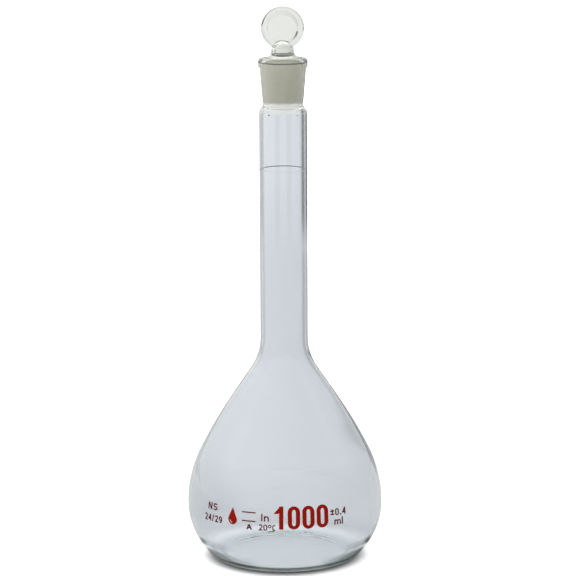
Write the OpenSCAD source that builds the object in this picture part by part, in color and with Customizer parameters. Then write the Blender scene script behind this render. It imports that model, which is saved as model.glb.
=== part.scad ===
// One-litre volumetric flask with a ground-glass penny-head stopper.
// Millimetres. The flask stands upright: +Z runs up the neck, the origin is at
// the centre of the base on the bench, and the printed side faces -Y.

/* [Capacity] */
// Volume held up to the ring mark, in millilitres
capacity_ml = 1000; // [980:1:1030]

/* [Bulb] */
// Diameter of the bulb at its widest
bulb_d = 125; // [124.5:0.1:126]
// Height of the widest point above the bench
belly_z = 35.5; // [35:0.1:36.5]
// Radius of the rounded heel between the side and the base
heel_r = 13; // [11:0.5:15]
// Profile radius below the widest point
lower_r = 45; // [43:0.5:47]
// Profile radius above the widest point
upper_r = 76; // [75:0.5:77]
// Profile radius of the long shoulder
shoulder_r = 308; // [300:1:315]
// Slope from the vertical where the shoulder starts, in degrees
shoulder_start = 26.5; // [26.3:0.1:27]
// Slope from the vertical where the shoulder is steepest, in degrees
shoulder_end = 34.1; // [34:0.1:34.6]
// Radius that blends the shoulder into the neck
neck_blend_r = 35; // [30:1:40]
// Glass thickness of the bulb and neck
wall = 1.6; // [1.4:0.05:1.8]
// Glass thickness under the heel
base_wall = 3.6; // [2.4:0.1:4.2]
// Rise of the hollow under the base
push_up = 3.5; // [2:0.5:6]
// Width of the flat ring that the flask stands on
foot_w = 1.5; // [1:0.1:3]

/* [Neck and ground socket] */
// Outside diameter of the neck
neck_d = 30.4; // [30:0.1:31]
// Height of the mouth above the bench
mouth_z = 321.1; // [317:0.1:326]
// Wide-end diameter of the ground cone, the first figure of its size
cone_d = 24; // [23:0.1:25]
// Length of the ground cone, the second figure of its size
cone_l = 29; // [28:0.5:30]
// Height of the shoulder between the neck and the ground zone
socket_shoulder = 5.3; // [5:0.1:7]
// Outside diameter of the socket just above its shoulder
socket_low_d = 25.4; // [25:0.1:27]
// Outside diameter of the socket just under its rim
socket_top_d = 29.3; // [28.5:0.1:30]
// Outside diameter of the rim bead
rim_d = 31.3; // [31:0.1:33]
// Height of the rim bead
rim_h = 6.2; // [4:0.1:7]

/* [Stopper] */
// Radial gap between the two ground cones
cone_gap = 0.04; // [0.02:0.01:0.1]
// How far the ground plug stands above the mouth
plug_proud = 0.3; // [0.1:0.1:2]
// Length of the plug from its closed bottom to its ground top edge
plug_l = 27.8; // [26:0.1:29]
// Glass thickness of the hollow plug and stem
plug_wall = 1.8; // [1.4:0.1:2.4]
// Diameter of the stem
stem_d = 14.8; // [13:0.1:16]
// Height of the stem above the plug, to the top of its dome
stem_h = 10.6; // [10:0.1:13]
// Diameter of the flat disc that the fingers hold
disc_d = 27.2; // [25:0.1:30]
// Height of the disc's centre above the plug
disc_z = 18.2; // [17:0.1:20]
// Thickness of the disc at its raised rim
disc_t = 5.6; // [4.5:0.1:7]
// Width of the raised rim around each face of the disc
disc_rim_w = 4; // [2:0.1:5]
// Depth of the sunk face inside the raised rim
disc_sink = 0.4; // [0.2:0.1:1]
// How far the disc is turned about the upright axis, in degrees
disc_turn = -4; // [-30:1:30]

/* [Markings] */
// Height of the baseline of the large numerals
row_z = 33.4; // [32:0.1:35]
// Height of the large numerals
big_h = 14.6; // [12:0.1:16]
// Stroke of the large numerals
big_stroke = 2.7; // [2:0.1:3]
// Stroke of the small lettering
fine_stroke = 0.85; // [0.6:0.01:0.9]
// Thickness of the fired enamel
enamel_t = 0.12; // [0.08:0.01:0.2]
// Width of the ring mark
ring_w = 0.5; // [0.3:0.1:0.8]

/* [Hidden] */
$fn = 120;

glass = [0.80, 0.85, 0.89, 0.45];
frosted = [0.70, 0.71, 0.66, 0.85];
enamel_red = [0.62, 0.10, 0.04];
enamel_brown = [0.40, 0.12, 0.08];
etched = [0.86, 0.88, 0.88];

bulb_r = bulb_d / 2;
neck_r = neck_d / 2;
neck_bore_r = neck_r - wall;

// The heel, belly and shoulder arcs meet with shared tangents
heel_slope = asin((belly_z - heel_r) / (lower_r - heel_r));
foot_r = bulb_r - lower_r + (lower_r - heel_r) * cos(heel_slope);
shoulder_cx = bulb_r - upper_r + (upper_r - shoulder_r) * cos(shoulder_start);
shoulder_cz = belly_z + (upper_r - shoulder_r) * sin(shoulder_start);
shoulder_top_r = shoulder_cx + shoulder_r * cos(shoulder_end);
shoulder_top_z = shoulder_cz + shoulder_r * sin(shoulder_end);
blend_low_r = neck_r + neck_blend_r * (1 - cos(shoulder_end));
neck_low_z = shoulder_top_z + (shoulder_top_r - blend_low_r) / tan(shoulder_end)
           + neck_blend_r * sin(shoulder_end);

taper = 0.1; // on the diameter, as on every standard ground cone
ground_low_z = mouth_z - cone_l;
seam_z = ground_low_z - socket_shoulder;
plug_top_z = mouth_z + plug_proud;
plug_low_z = plug_top_z - plug_l;
stem_r = stem_d / 2;
disc_r = disc_d / 2;
rim_round = 2.2; // rounding of the rim's outer top edge
lip_round = 0.5; // rounding of the mouth's inner edge
plug_round = 2.2; // rounding round the bottom of the plug
shoulder_rise = 0.3; // slope of the stopper's shoulder up from the edge of its cone
flare_r = 2.9; // fillet between the stopper's shoulder and its stem
crown_h = 6.5; // height of the dome that closes the stem
throat_low = 6.5; // the stopper's hollow draws in from this far below the top of its cone
throat_top = 2.2; // to this far above it
disc_slope = 2.4; // width of the slope between the disc's rim and its sunk face
clear = 0.02; // gap that keeps enamel off the glass below it

// Radius of the ground cone at a height
function ground_r(z) = cone_d / 2 - (mouth_z - z) * taper / 2;

// Points along a round stretch of profile; its radius may change from r0 to r1
function arc(cx, cz, r0, r1, a0, a1, n) =
    [for (i = [0:n]) let (t = i / n, a = a0 + (a1 - a0) * t, r = r0 + (r1 - r0) * t)
        [cx + r * cos(a), cz + r * sin(a)]];
function oval(x, y, rx, ry, a0, a1, n) =
    [for (i = [0:n]) let (a = a0 + (a1 - a0) * i / n) [x + rx * cos(a), y + ry * sin(a)]];
function reversed(p) = [for (i = [len(p) - 1:-1:0]) p[i]];
function without_first(p) = [for (i = [1:len(p) - 1]) p[i]];

// Side of the flask from the heel to the neck, moved inwards by d (d0 under the heel)
function side(d0, d) = concat(
    arc(foot_r, heel_r, heel_r - d0, heel_r - d, -90, -heel_slope, 10),
    without_first(arc(bulb_r - lower_r, belly_z, lower_r - d, lower_r - d, -heel_slope, 0, 14)),
    without_first(arc(bulb_r - upper_r, belly_z, upper_r - d, upper_r - d, 0, shoulder_start, 10)),
    without_first(arc(shoulder_cx, shoulder_cz, shoulder_r - d, shoulder_r - d,
                      shoulder_start, shoulder_end, 8)),
    arc(neck_r + neck_blend_r, neck_low_z, neck_blend_r + d, neck_blend_r + d,
        180 + shoulder_end, 180, 10));

// Shallow dome from the axis down to radius r, h high, standing on height z
function dome(r, h, z) =
    let (big = (r * r + h * h) / (2 * h), half = asin(r / big))
    [for (i = [0:8]) let (a = half * i / 8) [big * sin(a), z + h - big * (1 - cos(a))]];

// Volume inside a profile, in cubic millimetres, as a stack of cone slices
function slice(a, b) = PI / 3 * (b[1] - a[1]) * (a[0] * a[0] + a[0] * b[0] + b[0] * b[0]);
function slices(p) = [for (i = [1:len(p) - 1]) slice(p[i - 1], p[i])];
function volume(p) = slices(p) * [for (v = slices(p)) 1];

inner_side = side(base_wall, wall);
inner_floor = dome(foot_r, push_up, base_wall);
bulb_volume = volume(inner_side) + volume(inner_floor);
ring_z = neck_low_z + (capacity_ml * 1000 - bulb_volume) / (PI * pow(neck_bore_r, 2));

// Ring cut into the neck at the ring mark; grow widens it on every side
module ring_section(grow) {
    translate([neck_r - enamel_t - grow, ring_z - ring_w / 2 - grow])
        square([enamel_t + 2 * grow, ring_w + 2 * grow]);
}

// Blown bulb with its shoulder, the flat foot ring and the push-up under it
module bulb() {
    foot_in_r = foot_r - foot_w;
    color(glass)
        rotate_extrude()
            polygon(concat(dome(foot_in_r, push_up, 0), side(0, 0),
                           reversed(inner_side), reversed(inner_floor)));
}

// Drawn tube sealed to the bulb, with a groove for the ring mark
module neck() {
    color(glass)
        rotate_extrude()
            difference() {
                translate([neck_bore_r, neck_low_z])
                    square([wall, seam_z - neck_low_z]);
                ring_section(clear);
            }
}

// S-shaped wall that draws in from radius r0 at height z0 to radius r1 at height z1
function ogee(r0, z0, r1, z1) =
    let (step = r0 - r1, rise = z1 - z0)
    let (bend = (step * step + rise * rise) / (4 * step), swing = asin(rise / 2 / bend))
    concat(arc(r0 - bend, z0, bend, bend, 0, swing, 6),
           without_first(arc(r1 + bend, z1, bend, bend, 180 + swing, 180, 6)));

// Joint blank sealed to the neck: shoulder, ground inside, bead round the mouth
module ground_socket() {
    rim_r = rim_d / 2;
    under_r = rim_r - socket_top_d / 2;
    rim_low_z = mouth_z - rim_h;
    lip_r = ground_r(mouth_z - lip_round) + lip_round;
    outside = concat(
        ogee(neck_r, seam_z, socket_low_d / 2, ground_low_z),
        arc(rim_r - under_r, rim_low_z + under_r, under_r, under_r, -90, 0, 6),
        arc(rim_r - rim_round, mouth_z - rim_round, rim_round, rim_round, 0, 90, 6));
    lip = arc(lip_r, mouth_z - lip_round, lip_round, lip_round, 90, 180, 5);
    color(frosted)
        rotate_extrude()
            polygon(concat(outside, lip,
                           reversed(ogee(neck_bore_r, seam_z, ground_r(ground_low_z), ground_low_z))));
}

// Half profile of the dome that closes the stem, moved inwards by d
function crown(d) = oval(0, plug_top_z + stem_h - crown_h, stem_r - d, crown_h - d, 0, 90, 10);

// Half profile of the closed cone, moved inwards by d
function cone(d) =
    let (r = ground_r(plug_low_z) - cone_gap - d, round = plug_round - d / 2)
    concat([[0, plug_low_z + d]],
           arc(r - round, plug_low_z + d + round, round, round, -90, -atan(taper / 2), 6));

// Hollow that runs up from the plug, draws in under the shoulder and ends in the stem
module hollow() {
    low_z = plug_top_z - throat_low;
    polygon(concat(cone(plug_wall),
                   ogee(ground_r(low_z) - cone_gap - plug_wall, low_z,
                        stem_r - plug_wall, plug_top_z + throat_top),
                   crown(plug_wall)));
}

// Ground cone of the stopper, closed and rounded at the bottom
module stopper_plug() {
    top = [[ground_r(plug_top_z) - cone_gap, plug_top_z], [0, plug_top_z]];
    color(frosted)
        rotate_extrude()
            difference() {
                polygon(concat(cone(0), top));
                hollow();
            }
}

// Disc with a raised rim round both faces, standing on edge
module penny() {
    half = disc_t / 2;
    sunk = half - disc_sink;
    edge_r = 1.6;
    inner_r = disc_r - disc_rim_w;
    face = concat([[0, sunk], [inner_r - disc_slope / 2, sunk], [inner_r + disc_slope / 2, half]],
                  arc(disc_r - edge_r, half - edge_r, edge_r, edge_r, 90, 0, 6));
    mirrored = [for (p = reversed(face)) [p[0], -p[1]]];
    translate([0, 0, plug_top_z + disc_z])
        rotate([90, 0, disc_turn])
            rotate_extrude()
                polygon(concat(face, mirrored));
}

// Shoulder, stem and disc of the stopper
module stopper_head() {
    edge_r = ground_r(plug_top_z) - cone_gap;
    flare_z = plug_top_z + shoulder_rise + flare_r;
    shoulder = concat([[0, plug_top_z], [edge_r, plug_top_z]],
                      arc(stem_r + flare_r, flare_z, flare_r, flare_r, 270, 180, 8));
    color(glass)
        difference() {
            union() {
                rotate_extrude()
                    polygon(concat(shoulder, crown(0)));
                penny();
            }
            rotate_extrude()
                hollow();
        }
}

// Fine line round the neck that marks the volume, let in flush with the glass
module ring_mark() {
    color(etched)
        rotate_extrude()
            ring_section(0);
}

// Skin of the bulb where the print is, between d0 and d1 outside the glass
module print_skin(d0, d1) {
    down = 8; // degrees of the profile arcs below and above the widest point
    up = 12;
    low = arc(bulb_r - lower_r, belly_z, lower_r, lower_r, -down, 0, 2);
    high = arc(bulb_r - upper_r, belly_z, upper_r, upper_r, 0, up, 4);
    skin = concat(low, without_first(high));
    rotate_extrude()
        polygon(concat([for (p = skin) p + [d1, 0]], [for (p = reversed(skin)) p + [d0, 0]]));
}

// Prints a flat mark on the bulb: azimuth turns it right of the front, z is its baseline
module at(azimuth, z) {
    behind = 8;
    in_front = 4;
    rotate([0, 0, azimuth])
        translate([0, behind - bulb_r, z])
            rotate([90, 0, 0])
                linear_extrude(behind + in_front)
                    children();
}

// Cuts upright marks down to a skin of enamel fired on the bulb
module fired(ink = enamel_brown) {
    color(ink)
        intersection() {
            union() children();
            print_skin(clear, clear + enamel_t);
        }
}

// Angle that a width takes up round the bulb
function turn(w) = w / bulb_r * 180 / PI;

// Leaning stroke with level ends, k wide, from [x0, y0] up to [x1, y1]
module lean(x0, y0, x1, y1, k) {
    polygon([[x0, y0], [x0 + k, y0], [x1 + k, y1], [x1, y1]]);
}

// Upright or level stroke
module stroke(x, y, w, h) {
    translate([x, y])
        square([w, h]);
}

// Bent stroke s thick along part of an oval
module bow(x, y, rx, ry, a0, a1, s) {
    polygon(concat(oval(x, y, rx + s / 2, ry + s / 2, a0, a1, 14),
                   oval(x, y, rx - s / 2, ry - s / 2, a1, a0, 14)));
}

// Closed ring with straight sides and round ends, w by h outside
module loop(x, y, w, h, s) {
    difference() {
        polygon(concat(oval(x + w / 2, y + h - w / 2, w / 2, w / 2, 0, 180, 12),
                       oval(x + w / 2, y + w / 2, w / 2, w / 2, 180, 360, 12)));
        polygon(concat(oval(x + w / 2, y + h - w / 2, w / 2 - s, w / 2 - s * 0.8, 0, 180, 12),
                       oval(x + w / 2, y + w / 2, w / 2 - s, w / 2 - s * 0.8, 180, 360, 12)));
    }
}

// One character in a cell w wide and h tall, drawn with stroke s
module character(c, w, h, s) {
    if (c == "0") loop(0, 0, w, h, s);
    if (c == "1") {
        stem_x = w * 0.83 - s;
        stroke(stem_x, 0, s, h);
        lean(0, h * 0.68, stem_x, h - s * 0.3, s);
    }
    if (c == "2") {
        bow(w / 2, h - w / 2, w / 2 - s / 2, w / 2 - s / 2, 170, -25, s);
        lean(0, s * 0.5, w - s * 1.25, h - w * 0.66, s * 1.2);
        stroke(0, 0, w, s);
    }
    if (c == "4") {
        stroke(w * 0.62, 0, s, h);
        stroke(0, h * 0.22, w, s);
        lean(0, h * 0.22, w * 0.62 - s * 0.1, h, s * 1.1);
    }
    if (c == "9") {
        eye_z = h * 0.66;
        bow(w / 2, eye_z, w / 2 - s / 2, h - eye_z - s / 2, 0, 360, s);
        bow(w / 2, eye_z, w / 2 - s / 2, eye_z - s / 2, 0, -125, s);
    }
    if (c == "A") {
        lean(0, 0, w / 2 - s * 0.6, h, s * 1.2);
        lean(w - s * 1.2, 0, w / 2 - s * 0.6, h, s * 1.2);
        stroke(w * 0.2, h * 0.25, w * 0.6, s);
    }
    if (c == "C") bow(w / 2, h / 2, w / 2 - s / 2, h / 2 - s / 2, 45, 315, s);
    if (c == "I" || c == "l") stroke(0, 0, s, h);
    if (c == "N") {
        stroke(0, 0, s, h);
        stroke(w - s, 0, s, h);
        lean(w - s * 1.2, 0, 0, h, s * 1.2);
    }
    if (c == "S") {
        half = (h - s) / 4;
        bow(w / 2, h - s / 2 - half, w / 2 - s / 2, half, 25, 270, s);
        bow(w / 2, s / 2 + half, w / 2 - s / 2, half, 90, -155, s);
    }
    if (c == "n") {
        stroke(0, 0, s, h * 0.72);
        arch(0, w, h * 0.72, s);
    }
    if (c == "m") {
        stroke(0, 0, s, h * 0.72);
        arch(0, w / 2 + s / 2, h * 0.72, s);
        arch(w / 2 - s / 2, w / 2 + s / 2, h * 0.72, s);
    }
    if (c == "/") lean(0, 0, w - s, h, s);
    if (c == ".") stroke(0, 0, s * 1.2, s * 1.2);
    if (c == "+") {
        stroke(0, h * 0.12, w, s);
        stroke(0, h * 0.58, w, s);
        stroke(w / 2 - s / 2, h * 0.3, s, h * 0.62);
    }
    if (c == "o") loop(0, h - s * 3, s * 3, s * 3, s * 0.9);
}

// Shoulder of an n or an m: a half round that comes down to the baseline
module arch(x, w, h, s) {
    r = w / 2 - s / 2;
    bow(x + w / 2, h - w / 2, r, r, 180, 0, s);
    stroke(x + w - s, 0, s, h - w / 2);
}

// Width of a character's cell
function cell(c, w, s) =
    c == "l" || c == "I" ? s : c == "." ? s * 1.2 : c == "o" ? s * 3
    : c == "m" ? w * 1.5 : c == "/" ? w * 0.8 : c == "1" ? w * 0.95 : w;
function pen(t, i, w, s, gap) = i == 0 ? 0 : pen(t, i - 1, w, s, gap) + cell(t[i - 1], w, s) + gap;

// A line of characters that starts at an azimuth and runs to the right round the bulb
module line(t, azimuth, z, w, h, s, gap) {
    for (i = [0:len(t) - 1]) {
        wide = cell(t[i], w, s);
        at(azimuth + turn(pen(t, i, w, s, gap) + wide / 2), z)
            translate([-wide / 2, 0])
                character(t[i], wide, h, s);
    }
}

// The capacity, in large numerals
module capacity_numerals() {
    fired(enamel_red)
        line("1000", azimuth = -6.6, z = row_z, w = 7.8, h = big_h, s = big_stroke, gap = 1.43);
}

// Unit, under the tolerance
module unit_mark() {
    fired()
        line("ml", azimuth = 29.5, z = row_z + 0.5, w = 3.2, h = 4.8, s = fine_stroke, gap = 0.7);
}

// Tolerance at the ring mark, in millilitres
module tolerance_mark() {
    fired()
        line("+0.4", azimuth = 27, z = row_z + 6.6, w = 2.75, h = 4.4, s = fine_stroke, gap = 0.7);
}

// Calibrated to contain
module contain_mark() {
    fired()
        line("In", azimuth = -13.8, z = row_z + 5, w = 3.2, h = 4.6, s = fine_stroke, gap = 0.9);
}

// Temperature of calibration
module temperature_mark() {
    thin = fine_stroke * 0.9;
    fired()
        line("20oC", azimuth = -15.2, z = row_z - 1, w = 2.5, h = 4, s = thin, gap = 0.4);
}

// Accuracy class, under two bars
module class_mark() {
    bar_w = 9.2;
    bar_h = 0.75;
    fired() {
        line("A", azimuth = -22.9, z = row_z - 1, w = 4, h = 3.5, s = fine_stroke, gap = 0);
        for (up = [4.1, 9.6])
            at(-21.4, row_z + up)
                stroke(-bar_w / 2, 0, bar_w, bar_h);
    }
}

// Size of the ground joint
module joint_size_mark() {
    h = 4.5;
    fired() {
        line("NS", azimuth = -50.6, z = row_z + 7.6, w = 3.6, h = h, s = fine_stroke, gap = 1.1);
        line("24/29", azimuth = -53.6, z = row_z + 0.1, w = 2.7, h = h, s = fine_stroke, gap = 0.7);
    }
}

// Plain droplet with a glint left out of it
module droplet_mark() {
    r = 3.2;
    tall = 11;
    glint_r = 0.6 * r;
    glint_w = 0.6;
    fired(enamel_red)
        at(-31.7, row_z + 1)
            difference() {
                polygon(concat(oval(0, r, r, r, 150, 390, 16), [[0, tall]]));
                bow(0, r, glint_r, glint_r, 190, 260, glint_w);
            }
}

bulb();
neck();
ground_socket();
stopper_plug();
stopper_head();
ring_mark();
capacity_numerals();
unit_mark();
tolerance_mark();
contain_mark();
temperature_mark();
class_mark();
joint_size_mark();
droplet_mark();
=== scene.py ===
"""Looks of a one-litre volumetric flask with a ground-glass stopper.

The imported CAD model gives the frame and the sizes. Its glass nodes are replaced by finely
turned meshes of the same shape, and its enamel marks stay as they are with a better material.
Profiles are worked out in millimetres, and meshes are made in metres.
"""
import math

import bmesh
import bpy
from mathutils import Matrix, Vector


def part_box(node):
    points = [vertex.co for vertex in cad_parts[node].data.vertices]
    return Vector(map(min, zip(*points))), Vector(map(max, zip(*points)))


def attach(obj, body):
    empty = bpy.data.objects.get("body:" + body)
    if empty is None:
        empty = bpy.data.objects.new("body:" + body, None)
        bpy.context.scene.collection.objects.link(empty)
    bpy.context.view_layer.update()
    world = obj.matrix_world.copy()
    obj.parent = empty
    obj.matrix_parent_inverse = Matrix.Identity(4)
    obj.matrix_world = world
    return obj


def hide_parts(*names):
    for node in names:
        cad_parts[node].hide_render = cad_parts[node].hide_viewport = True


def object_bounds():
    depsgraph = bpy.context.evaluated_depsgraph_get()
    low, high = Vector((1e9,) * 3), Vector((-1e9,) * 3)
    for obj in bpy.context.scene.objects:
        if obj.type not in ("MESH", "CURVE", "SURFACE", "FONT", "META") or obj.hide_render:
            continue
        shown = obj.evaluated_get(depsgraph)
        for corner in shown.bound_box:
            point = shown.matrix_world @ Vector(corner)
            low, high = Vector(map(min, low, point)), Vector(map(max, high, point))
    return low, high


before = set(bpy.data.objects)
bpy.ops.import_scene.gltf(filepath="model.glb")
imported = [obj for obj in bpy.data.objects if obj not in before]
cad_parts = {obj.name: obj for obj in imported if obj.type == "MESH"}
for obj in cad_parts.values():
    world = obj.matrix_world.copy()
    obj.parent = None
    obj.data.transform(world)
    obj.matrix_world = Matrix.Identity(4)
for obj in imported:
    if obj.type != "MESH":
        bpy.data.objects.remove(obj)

cad_low, cad_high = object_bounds()
MM = 0.001
AROUND = 192  # faces round a turned piece
ON_AXIS = 1e-6  # a smaller radius is a single point on the axis
SHARP = math.radians(40)  # edges of a turned piece that bend more than this stay sharp
FUSED_SHARP = math.radians(50)  # and of the stopper's head
QUARTER = math.pi / 2

# ---------------------------------------------------------------- sizes, in millimetres


def top(node):
    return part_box(node)[1].z / MM


def bottom(node):
    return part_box(node)[0].z / MM


def radius(node):
    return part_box(node)[1].x / MM


bulb_r = radius("bulb")
neck_r = radius("neck")
rim_r = radius("ground_socket")
neck_low_z = top("bulb")
seam_z = top("neck")
mouth_z = top("ground_socket")
plug_top_z = top("stopper_plug")
plug_low_z = bottom("stopper_plug")
plug_top_r = radius("stopper_plug")
head_top_z = top("stopper_head")
ring_low_z, ring_top_z = bottom("ring_mark"), top("ring_mark")

# The same driving sizes as the CAD profile
WALL = 1.6
BASE_WALL = 3.6
BELLY_Z = 35.5
HEEL_R = 13.0
LOWER_R = 45.0
UPPER_R = 76.0
SHOULDER_R = 308.0
SHOULDER_START = math.radians(26.5)
SHOULDER_END = math.radians(34.1)
NECK_BLEND_R = 35.0
PUSH_UP = 3.5
FOOT_W = 1.5
ENAMEL_T = 0.12
CLEAR = 0.02
CONE_R = 12.0
CONE_L = 29.0
TAPER = 0.05  # on the radius
CONE_GAP = 0.04
SOCKET_LOW_R = 12.7
SOCKET_TOP_R = 14.65
RIM_H = 6.2
RIM_ROUND = 2.2
LIP_ROUND = 0.5
PLUG_WALL = 1.8
PLUG_ROUND = 2.2
SHOULDER_RISE = 0.3
FLARE_R = 2.9
CROWN_H = 6.5
STEM_R = 7.4
STEM_H = 10.6
DISC_R = 13.6
DISC_T = 5.6
DISC_RIM_W = 4.0
DISC_SINK = 0.4
DISC_SLOPE = 2.4  # width of the slope down from the rim to the sunk face
DISC_TURN = math.radians(-4)
DISC_EDGE_R = 1.6
THROAT_LOW = 6.5  # the hollow draws in from this far below the plug's top edge
THROAT_TOP = 2.2  # to this far above it

# Details that only the looks have
CLEAR_LIP = 2.6  # fire-polished glass above the ground zone
CLEAR_END = 0.9  # and below it
EDGE_H = 0.8  # painted shadow of the gap between stopper and socket, where the ground zone starts
PLUG_CLEAR = 0.4  # clear glass above the plug's rounded end
GROUND_SKIN = 0.3  # faces this near the plug's surface are ground
BASE_RINGS = 80  # steps across the inside of the base
WAVE_H = 0.4  # soft rings in the thick base: height of each train
WAVE_L = 7.0  # distance from ring to ring
WAVE_START = 0.55  # they start at this part of the foot's radius
WAVE_CENTRES = ((10, -6), (-12, -4))
SEED_TURN = math.radians(37)  # the two specks in the glass lie this far round from the front
SEED_DROP = 0.6  # and this far below the seam
SEED_STEP = 0.1  # the right one a little lower
DISC_STEPS = 8
HEAD_SKIRT = 3.0  # the head is made this much too long, then cut off flat
VOXEL = 0.22  # grid on which the disc melts into the stem
SOFTEN_FACTOR = 0.5
SOFTEN_STEPS = 8

bore_r = neck_r - WALL

# ---------------------------------------------------------------- profiles


def arc(cx, cz, r0, r1, a0, a1, n):
    """Points along a round stretch from angle a0 to a1, whose radius may change from r0 to r1."""
    points = []
    for i in range(n + 1):
        t = i / n
        a = a0 + (a1 - a0) * t
        r = r0 + (r1 - r0) * t
        points.append((cx + r * math.cos(a), cz + r * math.sin(a)))
    return points


def dome(r, h, z, n=14):
    """Shallow dome from the axis down to radius r, h high, standing on height z."""
    big = (r * r + h * h) / (2 * h)
    half = math.asin(r / big)
    return [(big * math.sin(half * i / n), z + h - big * (1 - math.cos(half * i / n))) for i in range(n + 1)]


heel_slope = math.asin((BELLY_Z - HEEL_R) / (LOWER_R - HEEL_R))
foot_r = bulb_r - LOWER_R + (LOWER_R - HEEL_R) * math.cos(heel_slope)


def side(d0, d):
    """Side of the flask from the heel to the neck, moved inwards by d, and by d0 under the heel."""
    cx = bulb_r - UPPER_R + (UPPER_R - SHOULDER_R) * math.cos(SHOULDER_START)
    cz = BELLY_Z + (UPPER_R - SHOULDER_R) * math.sin(SHOULDER_START)
    return (
        arc(foot_r, HEEL_R, HEEL_R - d0, HEEL_R - d, -QUARTER, -heel_slope, 16)
        + arc(bulb_r - LOWER_R, BELLY_Z, LOWER_R - d, LOWER_R - d, -heel_slope, 0, 24)[1:]
        + arc(bulb_r - UPPER_R, BELLY_Z, UPPER_R - d, UPPER_R - d, 0, SHOULDER_START, 20)[1:]
        + arc(cx, cz, SHOULDER_R - d, SHOULDER_R - d, SHOULDER_START, SHOULDER_END, 20)[1:]
        + arc(neck_r + NECK_BLEND_R, neck_low_z, NECK_BLEND_R + d, NECK_BLEND_R + d,
              math.pi + SHOULDER_END, math.pi, 20)
    )


# ---------------------------------------------------------------- mesh helpers


def new_object(name, mesh):
    obj = bpy.data.objects.new(name, mesh)
    bpy.context.scene.collection.objects.link(obj)
    return obj


def turned(name, profile, zones=None):
    """Turns a closed profile of (radius, height) points, in millimetres, round the upright axis.
    zones says, for a profile edge's middle, which material slot its faces take."""
    mesh = bpy.data.meshes.new(name)
    build = bmesh.new()
    rings = []
    for r, z in profile:
        if r < ON_AXIS:
            rings.append([build.verts.new((0, 0, z * MM))])
            continue
        rings.append([
            build.verts.new((r * MM * math.cos(2 * math.pi * k / AROUND),
                             r * MM * math.sin(2 * math.pi * k / AROUND), z * MM))
            for k in range(AROUND)
        ])
    for i, ring in enumerate(rings):
        other = rings[(i + 1) % len(rings)]
        if len(ring) == 1 and len(other) == 1:
            continue
        (r0, z0), (r1, z1) = profile[i], profile[(i + 1) % len(profile)]
        zone = zones((r0 + r1) / 2, (z0 + z1) / 2) if zones else 0
        for k in range(AROUND):
            corners = [ring[k % len(ring)], ring[(k + 1) % len(ring)],
                       other[(k + 1) % len(other)], other[k % len(other)]]
            face = build.faces.new(list(dict.fromkeys(corners)))
            face.material_index = zone
            face.smooth = True
    bmesh.ops.recalc_face_normals(build, faces=build.faces)
    build.to_mesh(mesh)
    build.free()
    mesh.set_sharp_from_angle(angle=SHARP)
    return new_object(name, mesh)


def apply_modifiers(obj):
    """Bakes an object's modifiers into its mesh."""
    depsgraph = bpy.context.evaluated_depsgraph_get()
    result = bpy.data.meshes.new_from_object(obj.evaluated_get(depsgraph))
    obj.modifiers.clear()
    obj.data = result


# ---------------------------------------------------------------- materials

GLASS_IOR = 1.473
THICK_COLOUR = (0.62, 0.70, 0.65)  # what thick glass turns to
FACTOR_LOW, FACTOR_HIGH = 0.3, 0.7  # the part of a noise that is used
SWIRL_BUMP = 0.00006  # heights in metres
GRAIN_BUMP = 0.00003
PEEL_BUMP = 0.00002


def material(name):
    mat = bpy.data.materials.new(name)
    mat.use_nodes = True
    nodes = mat.node_tree.nodes
    return mat, nodes, mat.node_tree.links, nodes["Principled BSDF"]


def noise(nodes, links, scale, detail=3.0, stretch=(1, 1, 1)):
    """Noise in the object's own space, in features per metre, stretched along each axis."""
    place = nodes.new("ShaderNodeTexCoord")
    shape = nodes.new("ShaderNodeMapping")
    shape.inputs["Scale"].default_value = stretch
    texture = nodes.new("ShaderNodeTexNoise")
    texture.inputs["Scale"].default_value = scale
    texture.inputs["Detail"].default_value = detail
    links.new(place.outputs["Object"], shape.inputs["Vector"])
    links.new(shape.outputs["Vector"], texture.inputs["Vector"])
    return texture.outputs["Fac"]


def between(nodes, links, factor, low, high):
    """A number or colour that runs from low to high over the used part of a noise."""
    if isinstance(low, tuple):
        ramp = nodes.new("ShaderNodeValToRGB")
        ramp.color_ramp.elements[0].position = FACTOR_LOW
        ramp.color_ramp.elements[0].color = (*low, 1)
        ramp.color_ramp.elements[1].position = FACTOR_HIGH
        ramp.color_ramp.elements[1].color = (*high, 1)
        links.new(factor, ramp.inputs["Fac"])
        return ramp.outputs["Color"]
    span = nodes.new("ShaderNodeMapRange")
    span.inputs["From Min"].default_value = FACTOR_LOW
    span.inputs["From Max"].default_value = FACTOR_HIGH
    span.inputs["To Min"].default_value = low
    span.inputs["To Max"].default_value = high
    links.new(factor, span.inputs["Value"])
    return span.outputs["Result"]


def bumps(nodes, links, shader, height, distance, strength=1.0):
    """Gives a shader a bumpy surface, distance metres high."""
    bump = nodes.new("ShaderNodeBump")
    bump.inputs["Strength"].default_value = strength
    bump.inputs["Distance"].default_value = distance
    links.new(height, bump.inputs["Height"])
    links.new(bump.outputs["Normal"], shader.inputs["Normal"])


def lighter(colour, by):
    return tuple(min(1.0, part * by) for part in colour)


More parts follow.
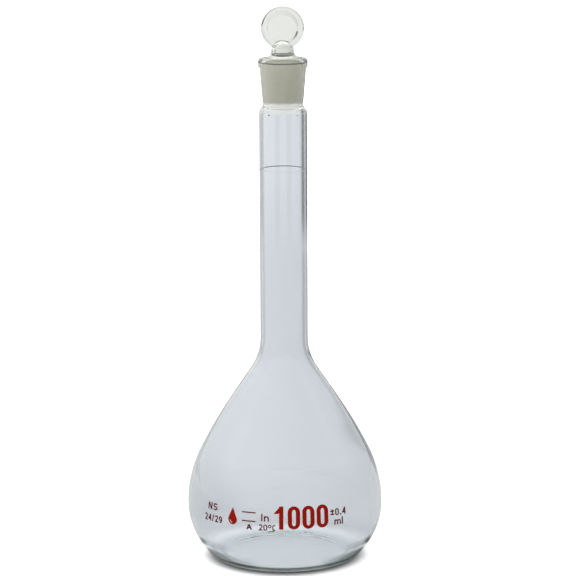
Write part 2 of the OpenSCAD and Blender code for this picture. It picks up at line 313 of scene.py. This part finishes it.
def clear_glass(name, tint, thick_density):
    """Polished borosilicate glass. tint colours each surface, and thick glass turns green."""
    mat, nodes, links, shader = material(name)
    swirl = noise(nodes, links, scale=45.0, detail=2.0, stretch=(1, 1, 0.35))
    links.new(between(nodes, links, swirl, tint, lighter(tint, 1.012)), shader.inputs["Base Color"])
    links.new(between(nodes, links, swirl, 0.0, 0.012), shader.inputs["Roughness"])
    bumps(nodes, links, shader, swirl, SWIRL_BUMP)
    shader.inputs["IOR"].default_value = GLASS_IOR
    shader.inputs["Transmission Weight"].default_value = 1.0
    inside = nodes.new("ShaderNodeVolumeAbsorption")
    inside.inputs["Color"].default_value = (*THICK_COLOUR, 1)
    inside.inputs["Density"].default_value = thick_density
    links.new(inside.outputs["Volume"], nodes["Material Output"].inputs["Volume"])
    return mat


def ground_glass(name, tint, rough, through):
    """Ground surface: fine grain that scatters what passes through it."""
    mat, nodes, links, shader = material(name)
    grain = noise(nodes, links, scale=2600.0, detail=2.0)
    cloud = noise(nodes, links, scale=160.0, detail=3.0, stretch=(1, 1, 2.5))
    links.new(between(nodes, links, cloud, tint, lighter(tint, 1.05)), shader.inputs["Base Color"])
    links.new(between(nodes, links, cloud, rough - 0.06, rough + 0.06), shader.inputs["Roughness"])
    bumps(nodes, links, shader, grain, GRAIN_BUMP, strength=0.6)
    shader.inputs["IOR"].default_value = GLASS_IOR
    shader.inputs["Transmission Weight"].default_value = through
    return mat


def enamel(name, dark, light):
    """Fired ceramic ink: slightly mottled, with little shine and a soft orange-peel surface."""
    mat, nodes, links, shader = material(name)
    mottle = noise(nodes, links, scale=700.0, detail=4.0)
    peel = noise(nodes, links, scale=1500.0, detail=2.0)
    links.new(between(nodes, links, mottle, dark, light), shader.inputs["Base Color"])
    links.new(between(nodes, links, mottle, 0.28, 0.42), shader.inputs["Roughness"])
    shader.inputs["Specular IOR Level"].default_value = 0.05
    bumps(nodes, links, shader, peel, PEEL_BUMP, strength=0.5)
    return mat


flask_glass = clear_glass("flask_glass", (0.90, 0.92, 0.955), thick_density=60.0)
stopper_glass = clear_glass("stopper_glass", (0.885, 0.90, 0.865), thick_density=10.0)
joint_glass = clear_glass("joint_glass", (0.90, 0.91, 0.89), thick_density=6.0)
frosted = ground_glass("frosted", (0.90, 0.89, 0.77), rough=0.5, through=0.4)
# dark ground band that paints the shadow in the gap between stopper and socket
painted_gap_shadow = ground_glass("painted_gap_shadow", (0.16, 0.16, 0.14), rough=0.5, through=0.3)
red = enamel("red_enamel", dark=(0.23, 0.005, 0.001), light=(0.30, 0.009, 0.002))
brown = enamel("brown_enamel", dark=(0.09, 0.010, 0.006), light=(0.13, 0.014, 0.009))
speck = enamel("speck", dark=(0.03, 0.04, 0.06), light=(0.06, 0.07, 0.10))
etched = ground_glass("etched", (0.95, 0.95, 0.95), rough=0.2, through=1.0)

# The materials of each piece, which its zones pick from
FLASK_SLOTS = (flask_glass, speck, etched)
SOCKET_SLOTS = (joint_glass, frosted, painted_gap_shadow)
PLUG_SLOTS = (stopper_glass, frosted)


def fill_slots(piece, slots):
    for one in slots:
        piece.data.materials.append(one)


# ---------------------------------------------------------------- bulb and neck


def seed(build, azimuth, z, r, half_size):
    """A tiny dark speck in the wall. Azimuth 0 is the front, and half_size is round the wall,
    through it and up it."""
    out = Vector((math.sin(azimuth), -math.cos(azimuth), 0))
    along = Vector((math.cos(azimuth), math.sin(azimuth), 0))
    shape = Matrix.Identity(4)
    shape.col[0].xyz = along * half_size.x * MM
    shape.col[1].xyz = out * half_size.y * MM
    shape.col[2].xyz = Vector((0, 0, half_size.z * MM))
    shape.col[3].xyz = out * r * MM + Vector((0, 0, z * MM))
    made = bmesh.ops.create_icosphere(build, subdivisions=3, radius=1.0, matrix=shape)
    faces = {f for v in made["verts"] for f in v.link_faces}
    for face in faces:
        face.smooth = True
        face.material_index = FLASK_SLOTS.index(speck)
    bmesh.ops.recalc_face_normals(build, faces=list(faces))
    bmesh.ops.reverse_faces(build, faces=list(faces))


def base_wave(x, y):
    """Unevenness of the thick base's inside: two trains of soft rings that cross at its back."""
    r = math.hypot(x, y)
    back = max(0.0, y / max(r, CLEAR)) ** 2
    part = min(max((r / foot_r - WAVE_START) / (1 - WAVE_START), 0.0), 1.0)
    rings = sum(math.sin(2 * math.pi * math.hypot(x - cx, y - cy) / WAVE_L) for cx, cy in WAVE_CENTRES)
    return WAVE_H * back * math.sin(math.pi * part) ** 2 * rings


def make_flask():
    """Bulb and neck as one piece of glass, with the groove for the ring mark."""
    groove_r = neck_r - ENAMEL_T - CLEAR
    groove_low, groove_top = ring_low_z - CLEAR, ring_top_z + CLEAR
    outside = (
        dome(foot_r - FOOT_W, PUSH_UP, 0) + side(0, 0)
        + [(neck_r, groove_low), (groove_r, groove_low), (groove_r, groove_top), (neck_r, groove_top)]
        + [(neck_r, seam_z - CLEAR)]
    )
    inside = (
        [(bore_r, seam_z - CLEAR)] + side(BASE_WALL, WALL)[::-1]
        + dome(foot_r, PUSH_UP, BASE_WALL, BASE_RINGS)[::-1][1:]
    )

    def zone(r, z):
        in_groove = groove_low - CLEAR < z < groove_top + CLEAR and r > groove_r - CLEAR
        return FLASK_SLOTS.index(etched if in_groove else flask_glass)

    flask = turned("bulb_and_neck", outside + inside, zones=zone)
    build = bmesh.new()
    build.from_mesh(flask.data)
    for vert in build.verts:
        x, y, z = vert.co / MM
        over_foot = math.hypot(x, y) < foot_r - CLEAR
        if over_foot and BASE_WALL - CLEAR < z < BASE_WALL + PUSH_UP + CLEAR:
            vert.co.z += base_wave(x, y) * MM
    seed_z = seam_z - SEED_DROP
    middle = neck_r - WALL / 2
    seed(build, -SEED_TURN, seed_z, middle, half_size=Vector((0.6, 0.25, 0.4)))
    seed(build, SEED_TURN, seed_z - SEED_STEP, middle, half_size=Vector((0.4, 0.2, 0.35)))
    build.to_mesh(flask.data)
    build.free()
    fill_slots(flask, FLASK_SLOTS)
    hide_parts("bulb", "neck")
    return flask


# ---------------------------------------------------------------- ground socket


def ogee(r0, z0, r1, z1):
    """S-shaped wall that draws in from radius r0 at height z0 to radius r1 at height z1."""
    step, rise = r0 - r1, z1 - z0
    bend = (step ** 2 + rise ** 2) / (4 * step)
    swing = math.asin(rise / 2 / bend)
    return (arc(r0 - bend, z0, bend, bend, 0, swing, 12)
            + arc(r1 + bend, z1, bend, bend, math.pi + swing, math.pi, 12)[1:])


def ground_r(z):
    """Radius of the ground cone at a height."""
    return CONE_R - (mouth_z - z) * TAPER


def make_socket():
    """Joint blank: polished outside, ground inside between a clear lip and the inner shoulder."""
    ground_low_z = mouth_z - CONE_L
    under_r = rim_r - SOCKET_TOP_R
    rim_low_z = mouth_z - RIM_H
    lip_r = ground_r(mouth_z - LIP_ROUND) + LIP_ROUND
    outside = (
        ogee(neck_r, seam_z, SOCKET_LOW_R, ground_low_z)
        + arc(rim_r - under_r, rim_low_z + under_r, under_r, under_r, -QUARTER, 0, 10)
        + arc(rim_r - RIM_ROUND, mouth_z - RIM_ROUND, RIM_ROUND, RIM_ROUND, 0, QUARTER, 12)
    )
    lip = arc(lip_r, mouth_z - LIP_ROUND, LIP_ROUND, LIP_ROUND, QUARTER, math.pi, 8)
    lip_z = mouth_z - CLEAR_LIP
    edge_z = mouth_z - CLEAR_LIP - EDGE_H
    end_z = ground_low_z + CLEAR_END
    ground = [(ground_r(z), z) for z in (lip_z, edge_z, end_z)]
    inside = ogee(bore_r, seam_z, ground_r(ground_low_z), ground_low_z)[::-1]

    def zone(r, z):
        if r > CONE_R or not end_z < z < lip_z:
            return SOCKET_SLOTS.index(joint_glass)
        # the top band of the ground zone takes the painted gap shadow
        return SOCKET_SLOTS.index(painted_gap_shadow if z > edge_z else frosted)

    socket = turned("ground_socket_glass", outside + lip + ground + inside, zones=zone)
    fill_slots(socket, SOCKET_SLOTS)
    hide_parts("ground_socket")
    return socket


# ---------------------------------------------------------------- stopper


def crown(d):
    """Half profile of the dome over the stem, moved inwards by d."""
    crown_z = plug_top_z + STEM_H - CROWN_H
    return [((STEM_R - d) * math.cos(a), crown_z + (CROWN_H - d) * math.sin(a))
            for a in (QUARTER * i / 24 for i in range(25))]


def stem():
    """Half profile of the outside above the cone: the flare up to the stem, and its dome."""
    flare_z = plug_top_z + SHOULDER_RISE + FLARE_R
    return arc(STEM_R + FLARE_R, flare_z, FLARE_R, FLARE_R, 3 * QUARTER, math.pi, 20) + crown(0)


def cone(d):
    """Half profile of the closed cone's bottom, moved inwards by d."""
    r = ground_r(plug_low_z) - CONE_GAP - d
    soft = PLUG_ROUND - d / 2
    return [(0, plug_low_z + d)] + arc(r - soft, plug_low_z + d + soft, soft, soft,
                                       -QUARTER, -math.atan(TAPER), 12)


def throat():
    """Where the stopper's hollow draws in from the cone to the stem."""
    low_z = plug_top_z - THROAT_LOW
    return ogee(ground_r(low_z) - CONE_GAP - PLUG_WALL, low_z, STEM_R - PLUG_WALL, plug_top_z + THROAT_TOP)


def make_plug():
    """Ground cone of the stopper: its shell up to the top edge of the cone."""
    split_z = plug_top_z - CLEAR
    low_ground_z = plug_low_z + PLUG_ROUND + PLUG_CLEAR
    below = [q for q in throat() if q[1] < split_z]
    (r0, z0), (r1, z1) = below[-1], throat()[len(below)]
    meet = (r0 + (r1 - r0) * (split_z - z0) / (z1 - z0), split_z)
    outside = cone(0) + [(ground_r(low_ground_z) - CONE_GAP, low_ground_z), (plug_top_r, split_z)]
    inside = cone(PLUG_WALL) + below + [meet]

    def zone(r, z):
        ground = z > low_ground_z and r > ground_r(z) - GROUND_SKIN
        return PLUG_SLOTS.index(frosted if ground else stopper_glass)

    plug = turned("stopper_plug_glass", outside + inside[::-1], zones=zone)
    fill_slots(plug, PLUG_SLOTS)
    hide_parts("stopper_plug")
    return plug


def make_head():
    """Shoulder and hollow domed stem, with the solid finger disc fused to them."""
    low_z = plug_top_z - HEAD_SKIRT
    skirt = [(0, low_z), (plug_top_r, low_z), (plug_top_r, plug_top_z)]
    solid = turned("stopper_head_glass", skirt + stem())
    half = DISC_T / 2
    inner_r = DISC_R - DISC_RIM_W
    slope = []
    for i in range(DISC_STEPS + 1):
        t = i / DISC_STEPS
        sink = DISC_SINK * (0.5 + 0.5 * math.cos(math.pi * t))
        slope.append((inner_r - DISC_SLOPE * (0.5 - t), half - sink))
    edge = arc(DISC_R - DISC_EDGE_R, half - DISC_EDGE_R, DISC_EDGE_R, DISC_EDGE_R, QUARTER, 0, 10)
    face = [(0, half - DISC_SINK)] + slope + edge
    disc = turned("disc", face + [(r, -z) for r, z in face[::-1]])
    disc_z = head_top_z - DISC_R
    disc.data.transform(Matrix.Translation((0, 0, disc_z * MM))
                        @ Matrix.Rotation(DISC_TURN, 4, "Z") @ Matrix.Rotation(QUARTER, 4, "X"))
    hollow_low_z = low_z - THROAT_LOW
    shaft = [(0, hollow_low_z), (throat()[0][0], hollow_low_z)]
    hollow = turned("hollow", shaft + throat() + crown(PLUG_WALL))
    join = solid.modifiers.new("join", "BOOLEAN")
    join.operation = "UNION"
    join.object = disc
    melt = solid.modifiers.new("melt", "REMESH")
    melt.mode = "VOXEL"
    melt.voxel_size = VOXEL * MM
    soften = solid.modifiers.new("soften", "SMOOTH")
    soften.factor = SOFTEN_FACTOR
    soften.iterations = SOFTEN_STEPS
    cut = solid.modifiers.new("cut", "BOOLEAN")
    cut.operation = "DIFFERENCE"
    cut.object = hollow
    apply_modifiers(solid)
    for spare in (disc, hollow):
        bpy.data.objects.remove(spare)

    build = bmesh.new()
    build.from_mesh(solid.data)
    everything = build.verts[:] + build.edges[:] + build.faces[:]
    bmesh.ops.bisect_plane(build, geom=everything, plane_co=(0, 0, plug_top_z * MM),
                           plane_no=(0, 0, -1), clear_outer=True)
    rims = [e for e in build.edges if e.is_boundary]
    bmesh.ops.triangle_fill(build, edges=rims, use_beauty=True, use_dissolve=False)
    for face in build.faces:
        face.smooth = True
    bmesh.ops.recalc_face_normals(build, faces=build.faces)
    build.to_mesh(solid.data)
    build.free()
    solid.data.set_sharp_from_angle(angle=FUSED_SHARP)
    solid.data.materials.clear()
    solid.data.materials.append(stopper_glass)
    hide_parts("stopper_head")
    return solid


# ---------------------------------------------------------------- bodies and slots

flask, socket, plug, head = make_flask(), make_socket(), make_plug(), make_head()
for piece in (flask, socket):
    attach(piece, "flask")
for piece in (plug, head):
    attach(piece, "stopper")

# ---------------------------------------------------------------- enamel and ring mark, kept from CAD

GLASS_NODES = ("bulb", "neck", "ground_socket", "stopper_plug", "stopper_head")
MARK_LOOKS = {"ring_mark": etched, "capacity_numerals": red, "droplet_mark": red}

for name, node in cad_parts.items():
    if name in GLASS_NODES:
        continue
    node.data.materials.clear()
    node.data.materials.append(MARK_LOOKS.get(name, brown))

# ---------------------------------------------------------------- stage, light and camera


def number(nodes, links, kind, *values):
    """A Math node: each value is a number or another node's output."""
    node = nodes.new("ShaderNodeMath")
    node.operation = kind
    for entry, value in zip(node.inputs, values):
        if isinstance(value, (int, float)):
            entry.default_value = value
        else:
            links.new(value, entry)
    return node.outputs[0]


def fade(nodes, links, value, low, high, at_low, at_high):
    """Runs smoothly from at_low to at_high as value goes from low to high."""
    span = nodes.new("ShaderNodeMapRange")
    span.interpolation_type = "SMOOTHSTEP"
    for name, setting in (("From Min", low), ("From Max", high), ("To Min", at_low), ("To Max", at_high)):
        span.inputs[name].default_value = setting
    links.new(value, span.inputs["Value"])
    return span.outputs["Result"]


def pick(nodes, links, factor, off, on):
    """Takes the value off where factor is 0 and on where it is 1; on may be a plain number."""
    mix = nodes.new("ShaderNodeMix")
    mix.data_type = "FLOAT"
    links.new(factor, mix.inputs["Factor"])
    links.new(off, mix.inputs["A"])
    if isinstance(on, (int, float)):
        mix.inputs["B"].default_value = on
    else:
        links.new(on, mix.inputs["B"])
    return mix.outputs["Result"]


# Rings of the floor, by distance from the flask's axis in metres: where a patch of painted shade, which only
# the glass sees, starts to come in, is full, starts to go out, and has gone
UNDER_HEEL = (0.044, 0.047, 0.054, 0.058)
ROUND_HEEL = (0.059, 0.061, 0.066, 0.072)
BESIDE = (0.08, 0.12, 0.6, 0.8)
NEAR = (0.3, 0.4, 1.1, 1.3)
MIDDLE = (0.5, 0.7, 3.0, 3.2)
FAR = (1.1, 1.5, 3.0, 3.2)
FAR_SHORT = (1.1, 1.5, 2.5, 2.8)
OUTERMOST = (3.1, 3.3, 7.0, 7.5)


def patch(ring, azimuth, half, soft, dark):
    """One patch of painted shade on a ring: its azimuth in degrees, to the right from straight behind the
    flask, its half width, the width of its soft edge, and how dark it is."""
    return ring, math.radians(azimuth), math.radians(half), math.radians(half + soft), dark


# Painted shade seen in the glass: painted shadows under and round the heel, and painted dark surroundings
# further off
PAINTED_FLOOR_SHADE = (
    patch(FAR_SHORT, azimuth=22, half=8, soft=8, dark=0.9),
    patch(FAR, azimuth=-46, half=8, soft=4, dark=0.5),
    patch(NEAR, azimuth=22, half=9, soft=5, dark=0.4),
    patch(OUTERMOST, azimuth=37, half=6, soft=5, dark=0.5),
    patch(OUTERMOST, azimuth=-30, half=14, soft=6, dark=0.6),
    patch(MIDDLE, azimuth=-28, half=12, soft=6, dark=0.3),
    patch(BESIDE, azimuth=-60, half=35, soft=15, dark=0.14),
    patch(ROUND_HEEL, azimuth=-104, half=20, soft=16, dark=0.7),
    patch(ROUND_HEEL, azimuth=100, half=18, soft=16, dark=0.8),
    patch(UNDER_HEEL, azimuth=-122, half=26, soft=16, dark=0.7),
    patch(UNDER_HEEL, azimuth=118, half=22, soft=16, dark=0.8),
    patch(FAR, azimuth=150, half=8, soft=10, dark=0.5),
    patch(FAR, azimuth=-150, half=8, soft=10, dark=0.5),
)
FLOOR_R = 8.0
FLOOR_DROP = 0.0002  # below the foot, so that the two surfaces don't touch

# The floor as the camera sees it: its colour, a painted contact shadow round the foot, and its own light,
# which keeps it white in the picture but is left out near the foot, deepening the painted shadow.
# Each pair of distances is where one fades into the other.
SEEN_LOW, SEEN_HIGH = 0.925, 0.93
PAINTED_SHADOW_DARK, PAINTED_SHADOW_FADE = 0.25, (0.042, 0.056)
SEEN_GLOW, SEEN_GLOW_FADE = 0.56, (0.044, 0.058)

# The floor as the glass sees it: its colour, with painted shade to the right for the light from the left,
# brighter far off, and the painted light that it gives under the foot
HIDDEN_GREY = 0.64
RIGHT_DIM, SIDE_SOFT = -0.35, 0.5
FAR_LIFT, FAR_LIFT_FADE = 1.12, (1.0, 2.0)
HIDDEN_GLOW, HIDDEN_GLOW_FADE = 0.5, (0.048, 0.075)


def make_floor():
    """Wide pale floor. What the glass sees of it is greyer, with patches of painted shade that draw the
    outlines of the glass."""
    mesh = bpy.data.meshes.new("floor")
    build = bmesh.new()
    bmesh.ops.create_circle(build, cap_ends=True, segments=96, radius=FLOOR_R)
    build.to_mesh(mesh)
    build.free()
    floor = new_object("floor", mesh)
    floor.location.z = cad_low.z - FLOOR_DROP
    mat, nodes, links, shader = material("floor")
    place = nodes.new("ShaderNodeTexCoord")
    split = nodes.new("ShaderNodeSeparateXYZ")
    links.new(place.outputs["Object"], split.inputs["Vector"])
    x, y = split.outputs["X"], split.outputs["Y"]
    x_squared = number(nodes, links, "MULTIPLY", x, x)
    y_squared = number(nodes, links, "MULTIPLY", y, y)
    far = number(nodes, links, "SQRT", number(nodes, links, "ADD", x_squared, y_squared))
    azimuth = number(nodes, links, "ARCTAN2", x, y)
    # the patches of painted shade, where they overlap the darkest one counts
    shade = 0.0
    for (start, full, last, gone), centre, half, outer, dark in PAINTED_FLOOR_SHADE:
        away = number(nodes, links, "ABSOLUTE", number(nodes, links, "SUBTRACT", azimuth, centre))
        sector = fade(nodes, links, away, half, outer, dark, 0.0)
        coming = fade(nodes, links, far, start, full, 0.0, 1.0)
        going = fade(nodes, links, far, last, gone, 1.0, 0.0)
        reach = number(nodes, links, "MULTIPLY", coming, going)
        shade = number(nodes, links, "MAXIMUM", shade, number(nodes, links, "MULTIPLY", sector, reach))
    light = number(nodes, links, "SUBTRACT", 1.0, shade)
    # painted shade: the floor darker to the right, as if lit from the left
    side_on = number(nodes, links, "DIVIDE", x, number(nodes, links, "ADD", far, SIDE_SOFT))
    tilt = number(nodes, links, "ADD", number(nodes, links, "MULTIPLY", side_on, RIGHT_DIM), 1.0)
    light = number(nodes, links, "MULTIPLY", light, tilt)
    light = number(nodes, links, "MULTIPLY", light, fade(nodes, links, far, *FAR_LIFT_FADE, 1.0, FAR_LIFT))

    hidden = number(nodes, links, "MULTIPLY", light, HIDDEN_GREY)
    mottle = between(nodes, links, noise(nodes, links, scale=3.0), SEEN_LOW, SEEN_HIGH)
    # painted contact shadow: the floor the camera sees is darker near the foot
    painted_contact_shadow = fade(nodes, links, far, *PAINTED_SHADOW_FADE, PAINTED_SHADOW_DARK, 1.0)
    seen = number(nodes, links, "MULTIPLY", mottle, painted_contact_shadow)
    # painted light: the floor glows under the foot, lightening the thick base seen through the glass
    under_glow = fade(nodes, links, far, *HIDDEN_GLOW_FADE, HIDDEN_GLOW, 0.0)
    hidden_glow = number(nodes, links, "MULTIPLY", light, under_glow)
    seen_glow = fade(nodes, links, far, *SEEN_GLOW_FADE, 0.0, SEEN_GLOW)
    is_camera = nodes.new("ShaderNodeLightPath").outputs["Is Camera Ray"]
    glow = pick(nodes, links, is_camera, hidden_glow, seen_glow)
    colour = pick(nodes, links, is_camera, hidden, seen)
    links.new(glow, shader.inputs["Emission Strength"])
    links.new(colour, shader.inputs["Base Color"])
    shader.inputs["Roughness"].default_value = 1.0
    shader.inputs["Specular IOR Level"].default_value = 0.0
    mesh.materials.append(mat)


LEFT_LIGHT, RIGHT_LIGHT = 2.0, 1.3  # strength of the light from each side
LOW_LIGHT, LOW_FADE = 0.62, (0.08, 0.6)  # part of it left near the horizon, and where it grows
BACKDROP = 1.5  # what the camera sees of the studio: plain white


def make_light():
    """Soft white studio all round, brighter from the left and dimmer near the ground."""
    world = bpy.data.worlds.new("studio")
    bpy.context.scene.world = world
    world.use_nodes = True
    nodes, links = world.node_tree.nodes, world.node_tree.links
    nodes.clear()
    place = nodes.new("ShaderNodeTexCoord")
    split = nodes.new("ShaderNodeSeparateXYZ")
    links.new(place.outputs["Generated"], split.inputs["Vector"])
    across = fade(nodes, links, split.outputs["X"], -1.0, 1.0, LEFT_LIGHT, RIGHT_LIGHT)
    rise = fade(nodes, links, split.outputs["Z"], *LOW_FADE, LOW_LIGHT, 1.0)
    around = number(nodes, links, "MULTIPLY", across, rise)
    light = nodes.new("ShaderNodeBackground")
    is_camera = nodes.new("ShaderNodeLightPath").outputs["Is Camera Ray"]
    links.new(pick(nodes, links, is_camera, around, BACKDROP), light.inputs["Strength"])
    output = nodes.new("ShaderNodeOutputWorld")
    links.new(light.outputs["Background"], output.inputs["Surface"])


def make_camera():
    """The photograph's view: from a little above, far enough off to look nearly flat."""
    away = 1.5675
    eye_z = 0.4668
    pitch = math.radians(10.56)
    yaw = math.radians(0.095)
    roll = math.radians(-0.27)
    data = bpy.data.cameras.new("camera")
    data.lens = 156.7
    data.sensor_width = 36.0
    data.clip_end = 50.0
    camera = new_object("camera", data)
    turn = (Matrix.Rotation(-yaw, 4, "Z") @ Matrix.Rotation(QUARTER - pitch, 4, "X")
            @ Matrix.Rotation(roll, 4, "Z"))
    camera.matrix_world = Matrix.Translation((0, -away, eye_z)) @ turn
    bpy.context.scene.camera = camera


make_floor()
make_light()
make_camera()
BOUNCES = 32  # enough for the many walls of glass in a row
scene = bpy.context.scene
scene.view_settings.view_transform = "Standard"
scene.cycles.max_bounces = BOUNCES
scene.cycles.transmission_bounces = BOUNCES
scene.cycles.glossy_bounces = BOUNCES
